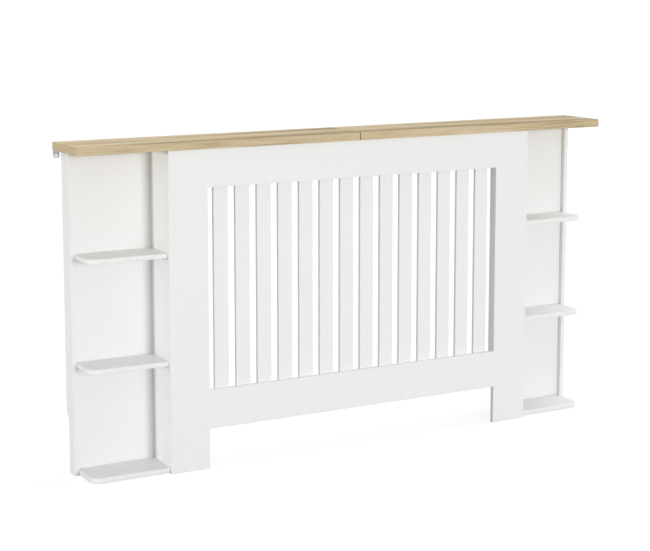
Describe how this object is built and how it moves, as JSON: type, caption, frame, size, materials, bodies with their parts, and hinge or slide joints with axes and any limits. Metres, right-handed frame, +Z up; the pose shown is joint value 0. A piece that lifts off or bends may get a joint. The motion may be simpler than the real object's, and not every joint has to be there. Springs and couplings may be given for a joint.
{
  "type": "radiator cover cabinet",
  "caption": "Free-standing radiator cover: slatted white front over the radiator, an open shelf bay at each end, and a long wood-effect top fixed back to the wall.",
  "frame": {"origin": "on the floor, at the middle of the cabinet's length and of the top's depth", "axes": "+X along the wall to the cabinet's right as seen from the front, +Y towards the wall, +Z up"},
  "size_m": [1.52, 0.158, 0.815],
  "materials": {
    "oak_top": "light oak-effect foil on board, satin, grain along the length",
    "white_board": "smooth white foil on board, satin",
    "white_block": "moulded, fine matt",
    "zinc_bracket": "bright zinc plate",
    "zinc_screw": "bright zinc plate",
    "beech_dowel": "raw beech, fluted"
  },
  "bodies": {
    "root": {"batten_screws": "zinc_screw", "bay_back_left": "white_board", "bay_back_right": "white_board", "bay_screws": "zinc_screw", "block_screws": "zinc_screw", "box_side_left": "white_board", "box_side_right": "white_board", "bracket_screws": "zinc_screw", "corner_blocks_left": "white_block", "corner_blocks_right": "white_block", "front_panel": "white_board", "grille_batten_left": "white_board", "grille_batten_right": "white_board", "joining_board": "white_board", "joining_screws": "zinc_screw", "joint_dowels": "beech_dowel", "rail_screws": "zinc_screw", "rear_rail": "white_board", "shelf_left_bottom": "white_board", "shelf_left_middle": "white_board", "shelf_left_upper": "white_board", "shelf_right_bottom": "white_board", "shelf_right_middle": "white_board", "shelf_right_upper": "white_board", "shelf_screws": "zinc_screw", "slat_01": "white_board", "slat_02": "white_board", "slat_03": "white_board", "slat_04": "white_board", "slat_05": "white_board", "slat_06": "white_board", "slat_07": "white_board", "slat_08": "white_board", "slat_09": "white_board", "slat_10": "white_board", "slat_11": "white_board", "slat_12": "white_board", "slat_13": "white_board", "slat_14": "white_board", "slat_screws": "zinc_screw", "top_dowels": "beech_dowel", "top_left": "oak_top", "top_right": "oak_top", "upright_dowels": "beech_dowel", "upright_left": "white_board", "upright_right": "white_board", "wall_bracket_left": "zinc_bracket", "wall_bracket_right": "zinc_bracket"}
  },
  "joints": []
}
